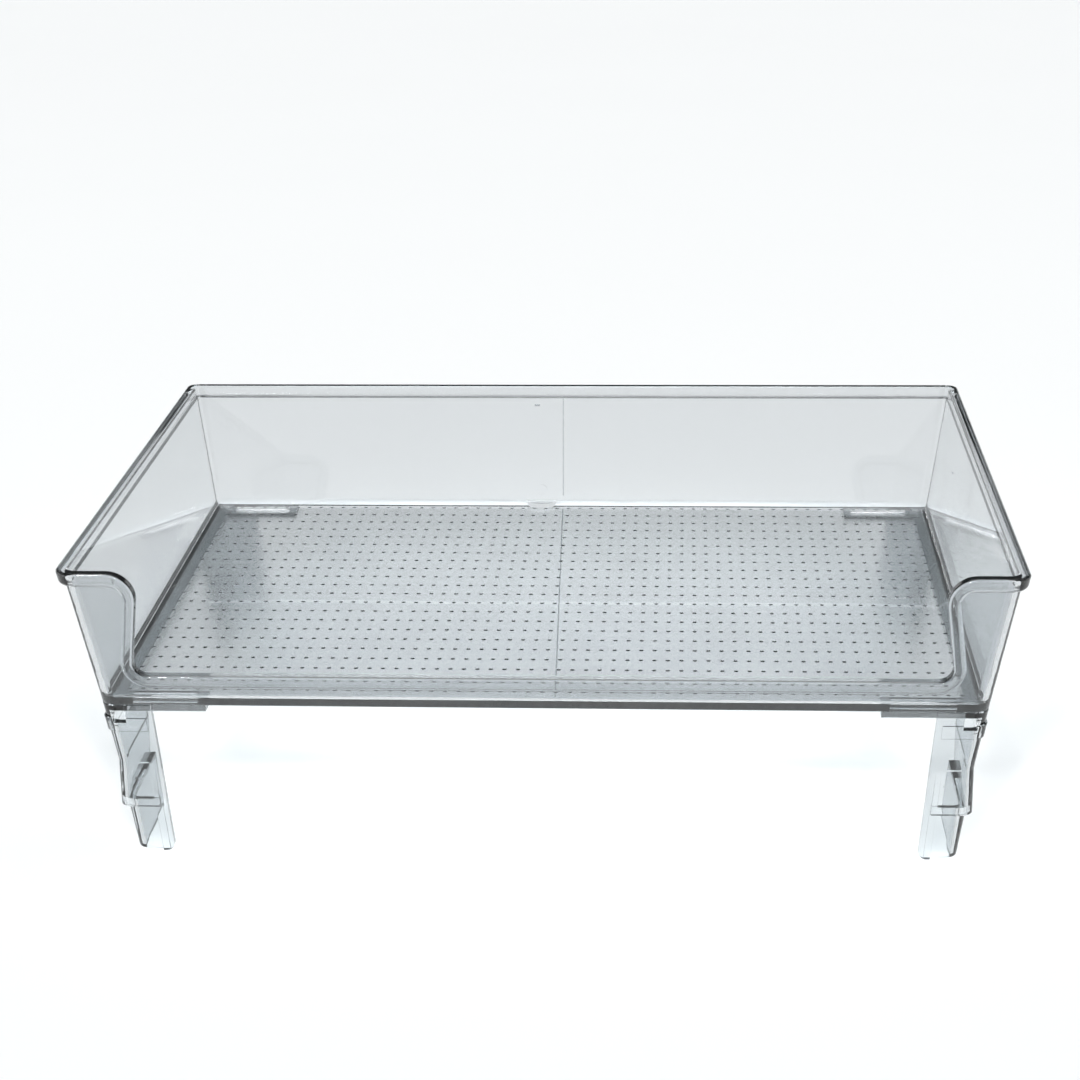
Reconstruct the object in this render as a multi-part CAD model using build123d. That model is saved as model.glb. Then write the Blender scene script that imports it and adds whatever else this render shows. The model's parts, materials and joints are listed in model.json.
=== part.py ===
"""Landscape letter tray in clear moulded plastic, carried on two side supports.

Millimetres, +Z up. Origin: middle of the footprint of the rim, on the desk under the feet.
-Y is the side with the low front opening.
"""
import os
from math import radians, tan

from build123d import *

# ---- driving dimensions -------------------------------------------------
overall_width = 340.0        # across the rim flange, left to right
overall_depth = 252.0
overall_height = 113.0       # desk to rim
body_height = 53.5           # rim to underside of the floor
wall = 2.2                   # moulded wall of the tray
floor_thickness = 2.2
side_draft = 9.7             # degrees, left and right walls
front_draft = 8.5            # degrees
back_draft = 12.0            # degrees
flange_projection = 2.2      # flange beyond the wall
flange_height = 5.5          # width of the flange band along the rim
flange_rounding = 2.0        # lower edge of the flange
rim_rounding = 0.9           # upper edges of the rim, the ears and the lip
front_corner_radius = 5.5    # plan radius of the two front corners, outside
back_corner_radius = 2.5
inner_front_radius = 3.6     # the same corners inside the tray
inner_back_radius = 3.2
floor_fillet = 3.0           # floor to wall, inside
outer_bottom_radius = 0.7    # floor to wall, outside

opening_half_top = 140.0     # half width of the front opening at the rim
opening_half_bottom = 145.4  # half width at the lip
lip_drop = 40.6              # rim down to the top of the low front lip
ear_radius = 10.0            # bend from the rim down into the opening
lip_radius = 5.0             # bend from the opening into the lip

support_gap = 0.3            # running gap between support and tray
support_wall = 2.5
leg_end_draft = 4.1          # degrees, front and rear faces of the legs
ledge_height = 36.0          # desk to the top of the taper into the proud block
block_height = 30.0          # desk to the top of the proud block
step_height = 19.0           # desk to the stacking step
block_proud = 1.0            # block beyond the drafted panel
foot_inset = 2.0             # foot behind the block
foot_taper_x = 2.4
foot_taper_y = 1.6
foot_rounding = 3.0
sole_rounding = 0.5
leg_radius = 5.0             # plan radius of the leg corners
leg_inner_top = 140.4        # half distance between the returns, at the top
leg_inner_bottom = 135.6     # half distance between the returns, at the desk
rib_width = 4.5              # plain rib down the inner edge of each return
leg_length = 36.0            # leg along the side panel, at the desk
arch_clearance = 11.0        # support top to the top of the arch
arch_radius = 14.0
arch_slope = 4.0             # leg grows by this much towards its top
bar_drop = 7.5               # support top to the middle of the raised bar
bar_height = 5.0
bar_proud = 0.6
shelf_width = 8.0            # flat the tray floor sits on
corner_shelf_width = 38.0    # the same flat across the legs
corner_shelf_depth = 12.0

tab_width = 23.0
tab_thickness = 2.2
tab_below_floor = 0.2        # tab top under the floor surface
tab_center_from_panel = 23.0  # panel outside to the middle of the tab
tab_from_end = 8.0           # end of the support to the middle of the tab
tab_clearance = 0.3
tab_rounding = 0.5

window_width = 5.0           # little window at the top of each return
window_height = 6.0
window_from_edge = 6.6

gate_offset = -12.0          # moulding gate on the back wall, from the middle
gate_radius = 2.2
gate_height = 6.8            # floor to the middle of the gate
gate_proud = 0.9
gate_relief_radius = 7.0
gate_relief_depth = 1.4

# ---- derived ------------------------------------------------------------
floor_bottom = overall_height - body_height
floor_top = floor_bottom + floor_thickness
side_slope = tan(radians(side_draft))
front_slope = tan(radians(front_draft))
back_slope = tan(radians(back_draft))
leg_slope = tan(radians(leg_end_draft))
support_top = floor_bottom - support_gap
reach = overall_width


def half_x(z):
    """Outside of the side walls at height z."""
    return overall_width / 2 - flange_projection - side_slope * (overall_height - z)


def front_y(z):
    """Outside of the front wall at height z."""
    return -overall_depth / 2 + flange_projection + front_slope * (overall_height - z)


def back_y(z):
    """Outside of the back wall at height z."""
    return overall_depth / 2 - flange_projection - back_slope * (overall_height - z)


def plan(z, hx, y0, y1):
    """Rectangle at height z, from y0 to y1."""
    return Plane.XY.offset(z) * Pos(0, (y0 + y1) / 2) * Rectangle(2 * hx, y1 - y0)


def uprights(solid):
    """The four slanting corner edges."""
    return [e for e in solid.edges() if abs(e.tangent_at(0.5).Z) > 0.7 and e.length > 2]


def body_plan(z, grow):
    return plan(z, half_x(z) + grow, front_y(z) - grow, back_y(z) + grow)


def skin(grow, z_low, z_high, bottom_radius):
    """Drafted block following the tray walls, moved outwards by grow, corners rounded."""
    solid = loft([body_plan(z_low, grow), body_plan(z_high, grow)])
    r_front = front_corner_radius + grow if grow >= 0 else inner_front_radius
    r_back = back_corner_radius + grow if grow >= 0 else inner_back_radius
    solid = fillet([e for e in uprights(solid) if e.center().Y > 0], r_back)
    middle = (z_high - z_low) / 3
    solid = fillet([e for e in uprights(solid) if e.center().Y < 0 and e.length > middle], r_front)
    if bottom_radius > 0:
        solid = fillet(solid.edges().group_by(Axis.Z)[0], bottom_radius)
    return solid


def front_outline(inset):
    """Front view of the two ears and the lip, drawn in from the rim by inset."""
    margin = overall_width
    rim = overall_height - inset
    lip = overall_height - lip_drop - inset
    top = opening_half_top + inset
    bottom = opening_half_bottom + inset
    outline = Polygon(
        (-margin, rim),
        (-top, rim),
        (-bottom, lip),
        (bottom, lip),
        (top, rim),
        (margin, rim),
        (margin, -margin),
        (-margin, -margin),
        align=None,
    )
    ears = [v for v in outline.vertices() if abs(abs(v.X) - top) < 0.01 and v.Y > rim - 0.01]
    outline = fillet(ears, ear_radius - inset)
    lips = [v for v in outline.vertices() if abs(v.Y - lip) < 0.01 and abs(v.X) > bottom - 1]
    return fillet(lips, lip_radius + inset)


def upright(sketch, y_front, y_back):
    """Extrude a front-view sketch from y_front to y_back."""
    placed = Plane(origin=(0, y_front, 0), x_dir=(1, 0, 0), z_dir=(0, -1, 0)) * sketch
    return extrude(placed, y_back - y_front, dir=(0, 1, 0))


def block(x0, x1, y0, y1, z0, z1):
    return Pos((x0 + x1) / 2, (y0 + y1) / 2, (z0 + z1) / 2) * Box(x1 - x0, y1 - y0, z1 - z0)


def beyond_wall(point):
    """How far a point stands outside the tray wall; negative inside it."""
    sides = abs(point.X) - half_x(point.Z)
    return max(sides, point.Y - back_y(point.Z), front_y(point.Z) - point.Y)


def rim_edges(solid, inset):
    """Edges of a solid along the rim, the ears and the lip, at a distance inset from the rim."""
    border = front_outline(inset).wire()
    found = []
    for edge in solid.edges():
        points = [edge.position_at(t) for t in (0.1, 0.5, 0.9)]
        if all(
            abs(p.Z - overall_height + inset) < 0.01 or Vertex(p.X, p.Z, 0).distance_to(border) < 0.01
            for p in points
        ):
            found.append(edge)
    return found


# ---- tray ---------------------------------------------------------------
outside = skin(0, floor_bottom, overall_height, outer_bottom_radius)
cavity = skin(-wall, floor_top, overall_height, floor_fillet)
cavity = cavity + extrude(cavity.faces().sort_by(Axis.Z)[-1], 5)

zone_front = -overall_depth / 2 - 5
zone_back = front_y(floor_bottom) + wall + floor_fillet
kept = front_outline(0)
opening = upright(Pos(0, overall_height) * Rectangle(3 * reach, 3 * reach) - kept, zone_front, zone_back)
behind_band = upright(front_outline(flange_height), zone_front, zone_back)

# flange: a band along the rim that follows the ears and the lip at the front
flange = skin(flange_projection, floor_bottom, overall_height, 0)
back_zone = block(-reach, reach, zone_back, reach, overall_height - flange_height, reach)
front_zone = block(-reach, reach, zone_front, zone_back, floor_bottom, reach) - behind_band
flange = flange & (back_zone + front_zone)
skirt = [e for e in rim_edges(flange, flange_height) if beyond_wall(e.center()) > -wall / 2]
flange = fillet(skirt, flange_rounding)
tray = (outside + flange) - cavity - opening

# both edges of the top are rounded all the way round the rim, the ears and the lip
outer_edges = [e for e in rim_edges(tray, 0) if beyond_wall(e.position_at(0.5)) > -wall / 2]
tray = fillet(outer_edges, rim_rounding)
inner_edges = [e for e in rim_edges(tray, 0) if beyond_wall(e.position_at(0.5)) < -wall + 0.1]
tray = fillet(inner_edges, rim_rounding)

# slots for the support tabs, one near each corner of the floor
panel_x = half_x(support_top)
end_front = front_y(support_top)
end_back = back_y(support_top)
tab_x = panel_x - tab_center_from_panel
tab_ends = (end_front + tab_from_end, end_back - tab_from_end)
for sx in (-1, 1):
    for tab_y in tab_ends:
        tray = tray - Pos(sx * tab_x, tab_y, floor_bottom) * Box(
            tab_width + 2 * tab_clearance, tab_thickness + 2 * tab_clearance, 4 * floor_thickness
        )

# gate: a half-round pad at the foot of the back wall and the cut-off stub above it
gate_z = floor_top + gate_height
pad_y = back_y(floor_top) - wall + gate_relief_radius - gate_relief_depth - floor_fillet
pad = Pos(gate_offset, pad_y, floor_top - floor_thickness / 2) * Cylinder(
    gate_relief_radius, floor_fillet, align=(Align.CENTER, Align.CENTER, Align.MIN)
)
pad = pad & loft([body_plan(floor_bottom, -wall / 2), body_plan(overall_height, -wall / 2)])
stub = Pos(gate_offset, back_y(gate_z) - wall, gate_z) * Rot(90 - back_draft, 0, 0)
stub = stub * Cylinder(gate_radius, 2 * gate_proud)
tray = tray + pad + stub


# ---- side supports ------------------------------------------------------
def leg_front(z):
    """Plain front face of the legs at height z."""
    return end_front + leg_slope * (support_top - z)


def leg_back(z):
    return end_back - leg_slope * (support_top - z)


def stage(low, high, inset, z_low, z_high):
    """Leg section between two levels; each level is its height and how proud it stands."""
    sections = []
    for (level, proud), z in ((low, z_low), (high, z_high)):
        grow = proud - inset
        y0 = leg_front(level) - grow
        y1 = leg_back(level) + grow
        outline = RectangleRounded(2 * (half_x(level) + grow), y1 - y0, max(leg_radius - inset, 1.0))
        sections.append(Plane.XY.offset(z) * Pos(0, (y0 + y1) / 2) * outline)
    return loft(sections, ruled=True)


def leg_solid(inset, shift):
    """Stepped outside of the legs, drawn in by inset; ledges move in by shift."""
    past = 1.0 if inset else 0.0
    top = (support_top, 0.0)
    ledge = (ledge_height, 0.0)
    block_top = (block_height, block_proud)
    block_low = (block_height, block_proud)
    foot_top = (block_height, block_proud - foot_inset)
    foot_low = (block_height, block_proud - foot_inset - foot_taper_x)
    upper = stage(ledge, top, inset, ledge_height, support_top + past)
    taper = stage(block_top, ledge, inset, block_height, ledge_height)
    middle = stage(block_low, block_top, inset, step_height + shift, block_height)
    foot = stage(foot_low, foot_top, inset, -past, step_height + shift)
    return upper + taper + middle + foot


leg_outside = leg_solid(0, 0)
sole = leg_outside.edges().group_by(Axis.Z)[0]
leg_outside = fillet(sole, sole_rounding)
leg_shell = leg_outside - leg_solid(support_wall, support_wall)

# raised bar across the top of the legs
bar_z = support_top - bar_drop
bar = stage(
    (bar_z - bar_height / 2, bar_proud),
    (bar_z + bar_height / 2, bar_proud),
    0,
    bar_z - bar_height / 2,
    bar_z + bar_height / 2,
)
bar_core = stage(
    (bar_z - bar_height, 0), (bar_z + bar_height, 0), support_wall / 2, bar_z - bar_height, bar_z + bar_height
)
leg_shell = leg_shell + (bar - bar_core)

# plain rib down the inner edge of each return, front and rear
rib_profile = Polygon(
    (leg_inner_bottom, 0),
    (leg_inner_bottom + rib_width, 0),
    (leg_inner_top + rib_width, support_top),
    (leg_inner_top, support_top),
    align=None,
)
inner_foot = [v for v in rib_profile.vertices() if v.Y < 1 and v.X < leg_inner_bottom + 1]
rib_profile = fillet(inner_foot, foot_rounding)
rib_pair = rib_profile + mirror(rib_profile, about=Plane.YZ)
rib_out = loft(
    [
        plan(0, reach, leg_front(0), leg_back(0)),
        plan(support_top, reach, leg_front(support_top), leg_back(support_top)),
    ]
)
rib_in = loft(
    [
        plan(-1, 2 * reach, leg_front(-1) + support_wall, leg_back(-1) - support_wall),
        plan(
            support_top + 1,
            2 * reach,
            leg_front(support_top + 1) + support_wall,
            leg_back(support_top + 1) - support_wall,
        ),
    ]
)
ribs = (upright(rib_pair, -reach, reach) & rib_out) - rib_in

# front and rear returns stop at the slanting inner line
return_cut = upright(
    Polygon(
        (-leg_inner_bottom - rib_width / 2, 0),
        (-leg_inner_bottom - rib_width / 2, -5),
        (leg_inner_bottom + rib_width / 2, -5),
        (leg_inner_bottom + rib_width / 2, 0),
        (leg_inner_top + rib_width / 2, support_top),
        (leg_inner_top + rib_width / 2, support_top + 5),
        (-leg_inner_top - rib_width / 2, support_top + 5),
        (-leg_inner_top - rib_width / 2, support_top),
        align=None,
    ),
    -reach,
    reach,
)
leg_shell = (leg_shell - return_cut) + ribs

# arch between the front and the rear leg, seen from the side
arch_front = leg_front(0) + foot_inset + foot_taper_y + leg_length
arch_back = leg_back(0) - foot_inset - foot_taper_y - leg_length
arch_top = support_top - arch_clearance
arch = Polygon(
    (arch_front, -5),
    (arch_back, -5),
    (arch_back - arch_slope, arch_top),
    (arch_front + arch_slope, arch_top),
    align=None,
)
arch = fillet([v for v in arch.vertices() if v.Y > 0], arch_radius)
arch_plane = Plane(origin=(-reach, 0, 0), x_dir=(0, 1, 0), z_dir=(1, 0, 0))
leg_shell = leg_shell - extrude(arch_plane * arch, 2 * reach, dir=(1, 0, 0))

# small windows at the top of the returns
window_top = support_top - 0.6
for sx in (-1, 1):
    cx = sx * (half_x(window_top) - window_from_edge)
    window = Polygon(
        (cx - window_width / 2, window_top - window_height),
        (cx + window_width / 2, window_top - window_height),
        (cx + window_width / 3, window_top),
        (cx - window_width / 3, window_top),
        align=None,
    )
    leg_shell = leg_shell - upright(window, -reach, reach)

# flat the floor sits on, wider across the legs
shelf_low = support_top - support_wall
flat_plan = plan(
    shelf_low,
    half_x(shelf_low) - support_wall / 2,
    leg_front(shelf_low) + support_wall / 2,
    leg_back(shelf_low) - support_wall / 2,
)
shelf = extrude(flat_plan, support_wall)
shelf = fillet(uprights(shelf), leg_radius - support_wall / 2)
side_inner = panel_x - shelf_width
leg_inner = panel_x - corner_shelf_width
depth = corner_shelf_depth
shelf = shelf - block(-side_inner, side_inner, end_front + depth, end_back - depth, 0, reach)
shelf = shelf - block(-leg_inner, leg_inner, -reach, reach, 0, reach)
frame_pair = leg_shell + shelf

supports = {}
for side, sx in (("left", -1), ("right", 1)):
    support = frame_pair & block(min(0, sx * reach), max(0, sx * reach), -reach, reach, -5, reach)
    for tab_y in tab_ends:
        tab_height = floor_top - tab_below_floor - shelf_low
        tab = Box(tab_width, tab_thickness, tab_height, align=(Align.CENTER, Align.CENTER, Align.MIN))
        tab = fillet(tab.edges().group_by(Axis.Z)[-1], tab_rounding)
        support = support + Pos(sx * tab_x, tab_y, shelf_low) * tab
    supports[side] = support

os.makedirs("parts", exist_ok=True)
export_step(tray, "parts/tray.step")
for side, support in supports.items():
    export_step(support, f"parts/{side}_side_support.step")
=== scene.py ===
"""Looks of a landscape letter tray in clear moulded plastic, around its CAD parts.

Metres, +Z up, -Y towards the low front opening, as in the CAD.
"""
import json
from math import cos, pi, radians, sin

import bmesh
import bpy
from bpy.props import FloatProperty, FloatVectorProperty, IntProperty, PointerProperty, StringProperty
from mathutils import Matrix, Vector


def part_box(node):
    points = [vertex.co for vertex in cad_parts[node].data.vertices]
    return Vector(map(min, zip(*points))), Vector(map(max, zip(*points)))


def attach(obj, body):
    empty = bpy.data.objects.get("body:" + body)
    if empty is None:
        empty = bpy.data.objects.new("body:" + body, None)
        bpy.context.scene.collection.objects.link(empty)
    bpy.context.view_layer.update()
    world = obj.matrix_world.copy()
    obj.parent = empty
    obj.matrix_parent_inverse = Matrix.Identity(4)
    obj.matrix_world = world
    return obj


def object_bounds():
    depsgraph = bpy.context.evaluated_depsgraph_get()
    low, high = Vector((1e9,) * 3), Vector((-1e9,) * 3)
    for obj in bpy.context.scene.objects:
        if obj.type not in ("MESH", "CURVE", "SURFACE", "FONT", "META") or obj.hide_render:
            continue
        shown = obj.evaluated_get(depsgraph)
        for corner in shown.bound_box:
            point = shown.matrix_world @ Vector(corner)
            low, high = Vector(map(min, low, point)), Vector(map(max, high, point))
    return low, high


bl_info = {
    "name": "Clear letter tray",
    "version": (1, 0, 0),
    "blender": (4, 5, 0),
    "location": "3D View > Sidebar > Letter tray",
    "description": "Finishes a clear moulded letter tray and sets up its studio",
    "category": "Object",
}

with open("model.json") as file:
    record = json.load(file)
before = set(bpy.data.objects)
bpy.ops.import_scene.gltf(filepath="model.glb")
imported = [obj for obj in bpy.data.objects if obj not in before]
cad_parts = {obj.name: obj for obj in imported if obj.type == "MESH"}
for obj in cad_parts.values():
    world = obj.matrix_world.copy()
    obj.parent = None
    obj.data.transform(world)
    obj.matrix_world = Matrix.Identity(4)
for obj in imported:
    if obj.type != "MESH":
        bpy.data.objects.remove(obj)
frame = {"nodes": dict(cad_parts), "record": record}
CAD_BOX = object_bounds()
MM = 0.001


# ---- settings ------------------------------------------------------------
class PlasticSettings(bpy.types.PropertyGroup):
    """The clear plastic that all three mouldings are made of."""

    tint: StringProperty(name="Tint", description="Colour a tray wall gives to what lies behind it", default="DCDFE1")
    support_tint: StringProperty(
        name="Support tint", description="The same for the thicker side supports", default="D2D6D8"
    )
    shade: StringProperty(name="Shadow tint", description="Colour of the light that passes a wall", default="EEF0F1")
    ior: FloatProperty(name="IOR", description="Refractive index of polystyrene", default=1.59)
    roughness: FloatProperty(name="Roughness", description="Of the polished mould", default=0.015)
    underside_roughness: FloatProperty(
        name="Underside roughness", description="Of the fine texture under the tray floor", default=0.2
    )
    ripple: FloatProperty(
        name="Ripple", description="Distance between the soft waves that cooling leaves", default=28 * MM, unit="LENGTH"
    )
    ripple_depth: FloatProperty(
        name="Ripple depth", description="Height of those waves", default=0.05 * MM, unit="LENGTH"
    )


class DotSettings(bpy.types.PropertyGroup):
    """The fine dots on the tray floor that keep sheets from clinging."""

    pitch_x: FloatProperty(name="Pitch across", description="From dot to dot", default=5 * MM, unit="LENGTH")
    pitch_y: FloatProperty(name="Pitch in depth", description="From row to row", default=10 * MM, unit="LENGTH")
    diameter: FloatProperty(name="Diameter", description="Of one dot", default=1.7 * MM, unit="LENGTH")
    height: FloatProperty(name="Height", description="Of one dot over the floor", default=0.05 * MM, unit="LENGTH")
    columns: IntProperty(name="Columns", description="Dots across the floor", default=61)
    rows: IntProperty(name="Rows", description="Rows of dots", default=22)


class WeldLineSettings(bpy.types.PropertyGroup):
    """The faint line where two fronts of melt met while the tray was moulded."""

    offset: FloatProperty(name="Offset", description="From the middle", default=-2.5 * MM, unit="LENGTH")
    drift: FloatProperty(
        name="Drift", description="Sideways, from the back of the floor to its front", default=7.5 * MM, unit="LENGTH"
    )
    width: FloatProperty(name="Width", description="Of the line", default=0.5 * MM, unit="LENGTH")
    height: FloatProperty(name="Height", description="Over the surface", default=0.02 * MM, unit="LENGTH")


class StageSettings(bpy.types.PropertyGroup):
    """Floor, light and camera."""

    floor_colour: StringProperty(name="Floor", description="Colour of the floor", default="F7F8F8")
    camera_place: FloatVectorProperty(
        name="Camera", description="Place of the camera", default=(0.0494, -0.9139, 0.3971), subtype="TRANSLATION"
    )
    camera_pitch: FloatProperty(
        name="Pitch", description="Camera below the horizon", default=radians(18.92), subtype="ANGLE"
    )
    camera_yaw: FloatProperty(name="Yaw", description="Camera turned left", default=radians(3.49), subtype="ANGLE")
    camera_roll: FloatProperty(name="Roll", description="Camera tilt", default=radians(0.84), subtype="ANGLE")
    lens: FloatProperty(name="Lens", description="Focal length in mm", default=81.15)


# ---- small tools ---------------------------------------------------------
def linear(colour):
    """An sRGB hex colour as linear RGBA."""
    channels = [int(colour[i : i + 2], 16) / 255 for i in (0, 2, 4)]
    return [c / 12.92 if c <= 0.04045 else ((c + 0.055) / 1.055) ** 2.4 for c in channels] + [1.0]


def add_node(tree, kind, settings=None, inputs=None, links=None):
    """A node with its settings, its input values and the sockets that feed it."""
    node = tree.nodes.new(kind)
    for name, value in (settings or {}).items():
        setattr(node, name, value)
    for name, value in (inputs or {}).items():
        node.inputs[name].default_value = value
    for name, socket in (links or {}).items():
        tree.links.new(socket, node.inputs[name])
    return node


def new_material(name):
    """An empty node material and its output node."""
    material = bpy.data.materials.new(name)
    material.use_nodes = True
    material.node_tree.nodes.clear()
    return material, add_node(material.node_tree, "ShaderNodeOutputMaterial")


def new_piece(name, shape, material, body=None):
    """A mesh object made from a bmesh, riding on a body."""
    mesh = bpy.data.meshes.new(name)
    shape.to_mesh(mesh)
    shape.free()
    piece = bpy.data.objects.new(name, mesh)
    bpy.context.scene.collection.objects.link(piece)
    mesh.materials.append(material)
    if body:
        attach(piece, body)
    return piece


# ---- materials -----------------------------------------------------------
def moulded_clear_polystyrene(name="moulded clear polystyrene", tint=""):
    """General purpose polystyrene, injection moulded in a polished steel tool."""
    if name in bpy.data.materials:
        return bpy.data.materials[name]
    plastic = bpy.context.scene.tray_plastic
    material, output = new_material(name)
    tree = material.node_tree
    place = add_node(tree, "ShaderNodeTexCoord")
    # crystal clear with a cool cast, bright edges, and soft waves that bend what lies behind
    ripple = add_node(
        tree,
        "ShaderNodeTexNoise",
        inputs={"Scale": 1 / plastic.ripple, "Detail": 1.0, "Roughness": 0.4},
        links={"Vector": place.outputs["Object"]},
    )
    waves = add_node(
        tree,
        "ShaderNodeBump",
        inputs={"Strength": 1.0, "Distance": plastic.ripple_depth},
        links={"Height": ripple.outputs["Fac"]},
    )
    # handling leaves the polish slightly uneven in patches a few centimetres wide
    patch_size = 35 * MM
    worn_roughness = 4 * plastic.roughness
    smear = add_node(
        tree,
        "ShaderNodeTexNoise",
        inputs={"Scale": 1 / patch_size, "Detail": 3.0},
        links={"Vector": place.outputs["Object"]},
    )
    polish = add_node(
        tree,
        "ShaderNodeMapRange",
        inputs={"From Min": 0.45, "From Max": 0.8, "To Min": plastic.roughness, "To Max": worn_roughness},
        links={"Value": smear.outputs["Fac"]},
    )
    # the tool is spark-eroded under the floor, so what stands below the tray looks soft
    underside_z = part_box("tray")[0].z
    height = add_node(tree, "ShaderNodeSeparateXYZ", links={"Vector": place.outputs["Object"]})
    underside = add_node(
        tree,
        "ShaderNodeMapRange",
        inputs={
            "From Min": underside_z + 0.3 * MM,
            "From Max": underside_z + 0.1 * MM,
            "To Min": 0.0,
            "To Max": plastic.underside_roughness,
        },
        links={"Value": height.outputs["Z"]},
    )
    above_supports = add_node(
        tree,
        "ShaderNodeMath",
        {"operation": "GREATER_THAN"},
        inputs={1: underside_z - 0.1 * MM},
        links={0: height.outputs["Z"]},
    )
    texture = add_node(
        tree,
        "ShaderNodeMath",
        {"operation": "MULTIPLY_ADD"},
        links={0: underside.outputs["Result"], 1: above_supports.outputs[0], 2: polish.outputs["Result"]},
    )
    shell = add_node(
        tree,
        "ShaderNodeBsdfPrincipled",
        inputs={"Base Color": linear(tint or plastic.tint), "IOR": plastic.ior, "Transmission Weight": 1.0},
        links={"Roughness": texture.outputs[0], "Normal": waves.outputs["Normal"]},
    )
    through = add_node(tree, "ShaderNodeBsdfTransparent", inputs={"Color": linear(plastic.shade)})
    path = add_node(tree, "ShaderNodeLightPath")
    # lamps reach the floor through the walls, as they do through real clear plastic
    mix = add_node(
        tree,
        "ShaderNodeMixShader",
        links={"Fac": path.outputs["Is Shadow Ray"], 1: shell.outputs[0], 2: through.outputs[0]},
    )
    tree.links.new(mix.outputs[0], output.inputs["Surface"])
    return material


def matt_table_top():
    """Painted board, rolled on."""
    # pale and matt, with a trace of unevenness from the roller
    mottle_size = 400 * MM
    darkest = 0.985
    stage = bpy.context.scene.tray_stage
    material, output = new_material("matt table top")
    tree = material.node_tree
    place = add_node(tree, "ShaderNodeTexCoord")
    mottle = add_node(
        tree,
        "ShaderNodeTexNoise",
        inputs={"Scale": 1 / mottle_size, "Detail": 2.0},
        links={"Vector": place.outputs["Object"]},
    )
    pale = linear(stage.floor_colour)
    colour = add_node(
        tree,
        "ShaderNodeMix",
        {"data_type": "RGBA"},
        {6: [c * darkest for c in pale[:3]] + [1.0], 7: pale},
        {"Factor": mottle.outputs["Fac"]},
    )
    board = add_node(
        tree,
        "ShaderNodeBsdfPrincipled",
        inputs={"Roughness": 0.9, "Specular IOR Level": 0.1},
        links={"Base Color": colour.outputs[2]},
    )
    tree.links.new(board.outputs[0], output.inputs["Surface"])
    return material


# ---- operators -----------------------------------------------------------
class TRAY_OT_mouldings(bpy.types.Operator):
    """Give the tray and the two side supports their clear plastic"""

    bl_idname = "tray.mouldings"
    bl_label = "Mouldings"

    def execute(self, context):
        thin = moulded_clear_polystyrene()
        thick = moulded_clear_polystyrene("thick clear polystyrene", context.scene.tray_plastic.support_tint)
        for node, material in (("tray", thin), ("left_side_support", thick), ("right_side_support", thick)):
            moulding = frame["nodes"][node]
            moulding.data.materials.clear()
            moulding.data.materials.append(material)
        return {"FINISHED"}


class TRAY_OT_floor_dots(bpy.types.Operator):
    """Add the grid of low domes on the tray floor"""

    bl_idname = "tray.floor_dots"
    bl_label = "Floor dots"

    def execute(self, context):
        dots = context.scene.tray_dots
        floor = record_mount("paper_bed").z
        first_row = record_opening("paper_bay")[1].y
        sunk = 0.02 * MM
        shape = bmesh.new()
        for row in range(dots.rows):
            for column in range(dots.columns):
                x = (column - (dots.columns - 1) / 2) * dots.pitch_x
                y = first_row - row * dots.pitch_y
                add_dome(shape, Vector((x, y, floor - sunk)), dots.diameter / 2, dots.height + sunk)
        piece = new_piece("tray_floor_dots", shape, moulded_clear_polystyrene(), "tray")
        piece.data.polygons.foreach_set("use_smooth", [True] * len(piece.data.polygons))
        return {"FINISHED"}


def record_mount(name):
    """Place of a mount of the record."""
    return Vector(next(m["pos_m"] for m in frame["record"]["mounts"] if m["name"] == name))


def record_opening(name):
    """Lowest and highest corner of an opening of the record."""
    boxes = frame["record"]["physics"]["openings"]
    return [Vector(corner) for corner in next(b["box_m"] for b in boxes if b["name"] == name)]


def add_dome(shape, foot, radius, height, sides=12, rings=3):
    """A closed shallow dome with a parabolic section."""
    loops = []
    for ring in range(rings):
        share = 1 - ring / rings
        r = radius * share
        z = height * (1 - share * share)
        loops.append(
            [
                shape.verts.new(foot + Vector((r * cos(2 * pi * k / sides), r * sin(2 * pi * k / sides), z)))
                for k in range(sides)
            ]
        )
    top = shape.verts.new(foot + Vector((0, 0, height)))
    for inner, outer in zip(loops[1:], loops):
        for k in range(sides):
            j = (k + 1) % sides
            shape.faces.new((outer[k], outer[j], inner[j], inner[k]))
    for k in range(sides):
        shape.faces.new((loops[-1][k], loops[-1][(k + 1) % sides], top))
    shape.faces.new(reversed(loops[0]))


class TRAY_OT_weld_line(bpy.types.Operator):
    """Add the faint weld line down the back wall and across the floor"""

    bl_idname = "tray.weld_line"
    bl_label = "Weld line"

    def execute(self, context):
        line = context.scene.tray_weld_line
        floor = record_mount("paper_bed").z
        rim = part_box("tray")[1].z
        back_foot = wall_point(Vector((line.offset, 0, floor + 6 * MM)), Vector((0, 1, 0)))[0]
        back_top = wall_point(Vector((line.offset, 0, rim - 4 * MM)), Vector((0, 1, 0)))[0]
        slope = (back_top - back_foot).normalized()
        foot = back_foot - slope * 2 * MM
        front_end = Vector((line.offset + line.drift, record_opening("paper_bay")[0].y, floor))
        back_end = Vector((line.offset, record_opening("paper_bay")[1].y, floor))
        shape = bmesh.new()
        add_ridge(shape, foot, back_top, Vector((0, -slope.z, slope.y)), line)
        add_ridge(shape, back_end, front_end, Vector((0, 0, 1)), line)
        new_piece("tray_weld_line", shape, moulded_clear_polystyrene(), "tray")
        return {"FINISHED"}


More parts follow.
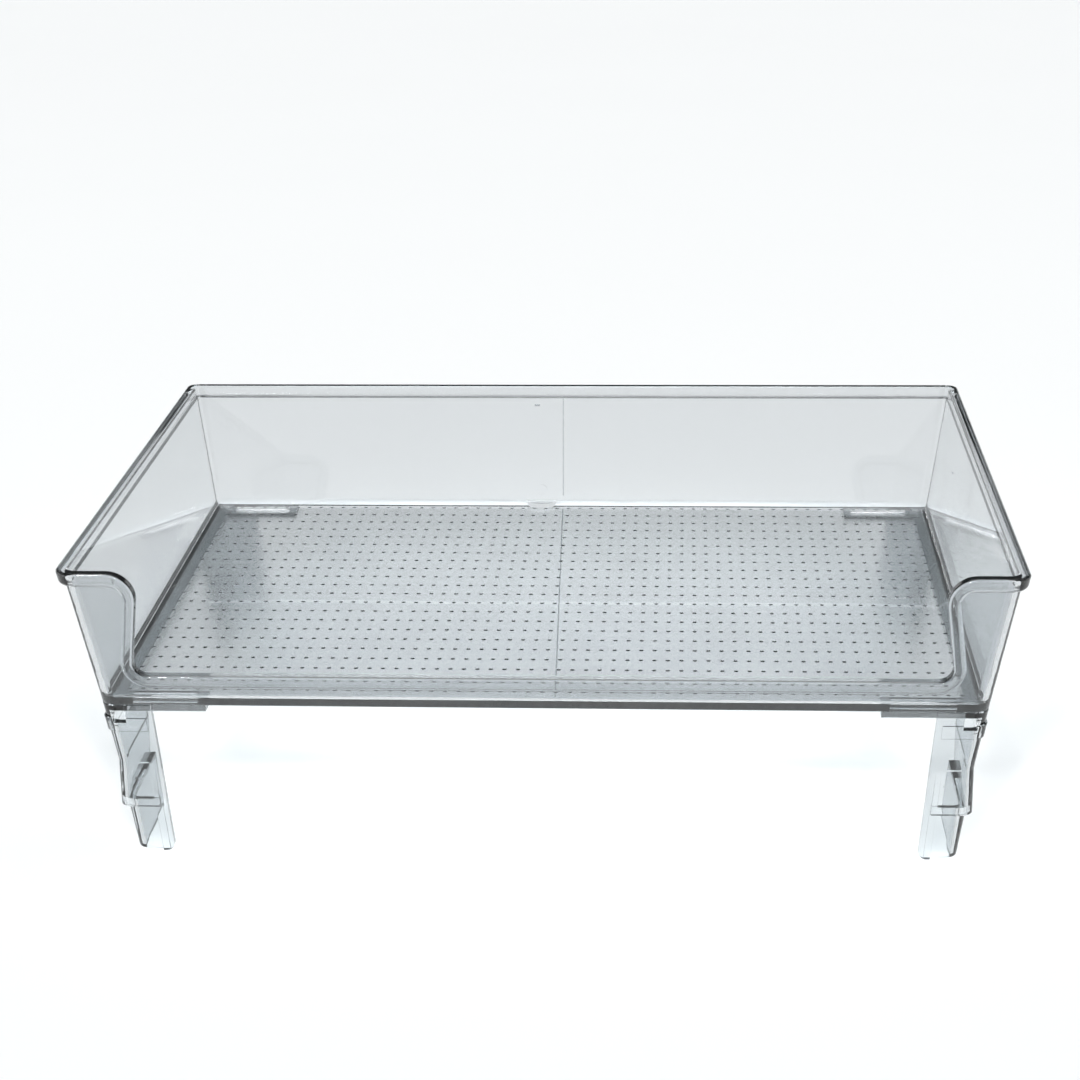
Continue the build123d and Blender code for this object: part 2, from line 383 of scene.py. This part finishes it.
def add_ridge(shape, start, end, outwards, line):
    """A closed low ridge with a triangular section, sunk a little into the surface."""
    sunk = 0.01 * MM
    half = Vector((line.width / 2, 0, 0))
    rings = []
    for point in (start, end):
        foot = point - outwards * sunk
        corners = (foot - half, foot + half, foot + outwards * (line.height + sunk))
        rings.append([shape.verts.new(corner) for corner in corners])
    for k in range(3):
        j = (k + 1) % 3
        shape.faces.new((rings[0][k], rings[0][j], rings[1][j], rings[1][k]))
    shape.faces.new(rings[1])
    shape.faces.new(reversed(rings[0]))
    bmesh.ops.recalc_face_normals(shape, faces=shape.faces)


class TRAY_OT_tool_marks(bpy.types.Operator):
    """Add the little strokes that the mould's inserts left on the walls"""

    bl_idname = "tray.tool_marks"
    bl_label = "Tool marks"

    def execute(self, context):
        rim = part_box("tray")[1].z
        left, right, back = Vector((-1, 0, 0)), Vector((1, 0, 0)), Vector((0, 1, 0))
        up = Vector((0, 0, 1))
        # which wall, a point in front of the mark, the way it runs, its length and width
        marks = (
            (left, Vector((0, -70 * MM, rim - 22 * MM)), up, 3.5 * MM, 0.6 * MM),
            (left, Vector((0, -67 * MM, rim - 22 * MM)), up, 2.0 * MM, 0.6 * MM),
            (back, Vector((-14 * MM, 0, rim - 8 * MM)), right, 2.4 * MM, 0.8 * MM),
            (right, Vector((0, 60 * MM, rim - 20 * MM)), back, 1.2 * MM, 0.6 * MM),
        )
        shape = bmesh.new()
        for wall, start, along, length, width in marks:
            place, normal = wall_point(start, wall)
            add_stroke(shape, place, normal, along, length, width)
        new_piece("tray_tool_marks", shape, moulded_clear_polystyrene(), "tray")
        return {"FINISHED"}


def wall_point(start, direction):
    """Where a ray meets the inside of the tray, and the way its surface faces."""
    hit, place, normal, face = frame["nodes"]["tray"].ray_cast(start, direction)
    if not hit:
        raise RuntimeError("no tray wall in that direction")
    return place, normal


def add_stroke(shape, place, normal, along, length, width):
    """A closed raised stroke with sloping ends."""
    along = (along - normal * along.dot(normal)).normalized()
    across = normal.cross(along)
    proud = 0.3 * MM
    sunk = 0.05 * MM
    rings = []
    for offset, rise, share in ((-0.5, -sunk, 1.0), (-0.3, proud, 0.5), (0.3, proud, 0.5), (0.5, -sunk, 1.0)):
        centre = place + along * length * offset
        side = across * width / 2
        ridge = centre + normal * rise
        corners = (centre - side, centre + side, ridge + side * share, ridge - side * share)
        rings.append([shape.verts.new(c - normal * sunk) for c in corners])
    for first, second in zip(rings, rings[1:]):
        for k in range(4):
            j = (k + 1) % 4
            shape.faces.new((first[k], first[j], second[j], second[k]))
    shape.faces.new(rings[-1])
    shape.faces.new(reversed(rings[0]))
    bmesh.ops.recalc_face_normals(shape, faces=shape.faces)


class TRAY_OT_stage(bpy.types.Operator):
    """Lay the floor, place the lights and the camera"""

    bl_idname = "tray.stage"
    bl_label = "Stage"

    def execute(self, context):
        lay_floor()
        light_sky(context.scene)
        hang_softboxes(context.scene)
        place_camera(context.scene)
        context.scene.view_settings.view_transform = "Standard"
        return {"FINISHED"}


def lay_floor():
    """A wide table top just under the feet."""
    reach = 12.0
    height = CAD_BOX[0].z - 0.1 * MM
    shape = bmesh.new()
    corners = ((-reach, -reach), (reach, -reach), (reach, reach), (-reach, reach))
    shape.faces.new([shape.verts.new((x, y, height)) for x, y in corners])
    floor = new_piece("table_top", shape, matt_table_top())


def light_sky(scene):
    """A studio with a white sweep up to ten degrees and a darker room above it."""
    world = bpy.data.worlds.new("studio")
    scene.world = world
    world.use_nodes = True
    tree = world.node_tree
    tree.nodes.clear()
    place = add_node(tree, "ShaderNodeTexCoord")
    axes = add_node(tree, "ShaderNodeSeparateXYZ", links={"Vector": place.outputs["Generated"]})
    fade = add_node(tree, "ShaderNodeValToRGB", links={"Fac": axes.outputs["Z"]})
    # height over the horizon as the sine of its angle, and the tone there
    tones = ((0.0, "F2F3F4"), (0.17, "F0F1F2"), (0.24, "54585A"), (0.8, "585C5E"), (1.0, "A0A3A5"))
    ramp = fade.color_ramp.elements
    for position, tone in tones[1:-1]:
        ramp.new(position)
    for stop, (position, tone) in zip(ramp, tones):
        stop.position = position
        stop.color = linear(tone)
    sky = add_node(tree, "ShaderNodeBackground", inputs={"Strength": 1.0}, links={"Color": fade.outputs["Color"]})
    output = add_node(tree, "ShaderNodeOutputWorld")
    tree.links.new(sky.outputs[0], output.inputs["Surface"])


def hang_softboxes(scene):
    """Two soft lamps in front, one each side, a fill from above and long softboxes at the sides."""
    # name, direction of the lamp, strength, and its width in degrees
    lamps = (
        ("front_lamp_left", Vector((-0.32, -1.0, 0.75)), 2.0, 6),
        ("front_lamp_right", Vector((0.32, -1.0, 0.75)), 2.0, 6),
        ("soft_overhead", Vector((0.1, 0.3, 1.0)), 0.35, 60),
    )
    for name, direction, power, spread in lamps:
        sun = bpy.data.lights.new(name, "SUN")
        sun.energy = power
        sun.angle = radians(spread)
        lamp = bpy.data.objects.new(name, sun)
        lamp.rotation_euler = (-direction).to_track_quat("-Z", "Y").to_euler()
        scene.collection.objects.link(lamp)
    box_width, box_length, box_power = 0.35, 1.6, 1.6
    for name, side in (("softbox_left", -1), ("softbox_right", 1)):
        box = bpy.data.lights.new(name, "AREA")
        box.shape = "RECTANGLE"
        box.size = box_width
        box.size_y = box_length
        box.energy = box_power
        lamp = bpy.data.objects.new(name, box)
        lamp.location = (side * 1.5, 0.1, 0.8)
        lamp.rotation_euler = (Vector((0, 0, 0.05)) - lamp.location).to_track_quat("-Z", "Y").to_euler()
        lamp.visible_camera = False
        scene.collection.objects.link(lamp)


def place_camera(scene):
    """The camera in front of the tray, a little to its right and above it."""
    stage = scene.tray_stage
    view = bpy.data.cameras.new("camera")
    view.lens = stage.lens
    view.sensor_width = 36.0
    view.clip_start = 0.01
    view.clip_end = 60.0
    camera = bpy.data.objects.new("camera", view)
    turn = (
        Matrix.Rotation(stage.camera_yaw, 4, "Z")
        @ Matrix.Rotation(pi / 2 - stage.camera_pitch, 4, "X")
        @ Matrix.Rotation(-stage.camera_roll, 4, "Z")
    )
    camera.matrix_world = Matrix.Translation(stage.camera_place) @ turn
    scene.collection.objects.link(camera)
    scene.camera = camera


class TRAY_PT_panel(bpy.types.Panel):
    """Sidebar panel of the letter tray"""

    bl_idname = "TRAY_PT_panel"
    bl_label = "Letter tray"
    bl_space_type = "VIEW_3D"
    bl_region_type = "UI"
    bl_category = "Letter tray"

    def draw(self, context):
        for step in STEPS:
            self.layout.operator(step.bl_idname)


STEPS = (TRAY_OT_mouldings, TRAY_OT_floor_dots, TRAY_OT_weld_line, TRAY_OT_tool_marks, TRAY_OT_stage)
SETTINGS = {
    "tray_plastic": PlasticSettings,
    "tray_dots": DotSettings,
    "tray_weld_line": WeldLineSettings,
    "tray_stage": StageSettings,
}


def register():
    for group in SETTINGS.values():
        bpy.utils.register_class(group)
    for name, group in SETTINGS.items():
        setattr(bpy.types.Scene, name, PointerProperty(type=group))
    for step in (*STEPS, TRAY_PT_panel):
        bpy.utils.register_class(step)


def unregister():
    for step in (TRAY_PT_panel, *reversed(STEPS)):
        bpy.utils.unregister_class(step)
    for name, group in SETTINGS.items():
        delattr(bpy.types.Scene, name)
        bpy.utils.unregister_class(group)


def main():
    register()
    bpy.ops.tray.mouldings()
    bpy.ops.tray.floor_dots()
    bpy.ops.tray.weld_line()
    bpy.ops.tray.tool_marks()
    bpy.ops.tray.stage()


if __name__ == "__main__":
    main()
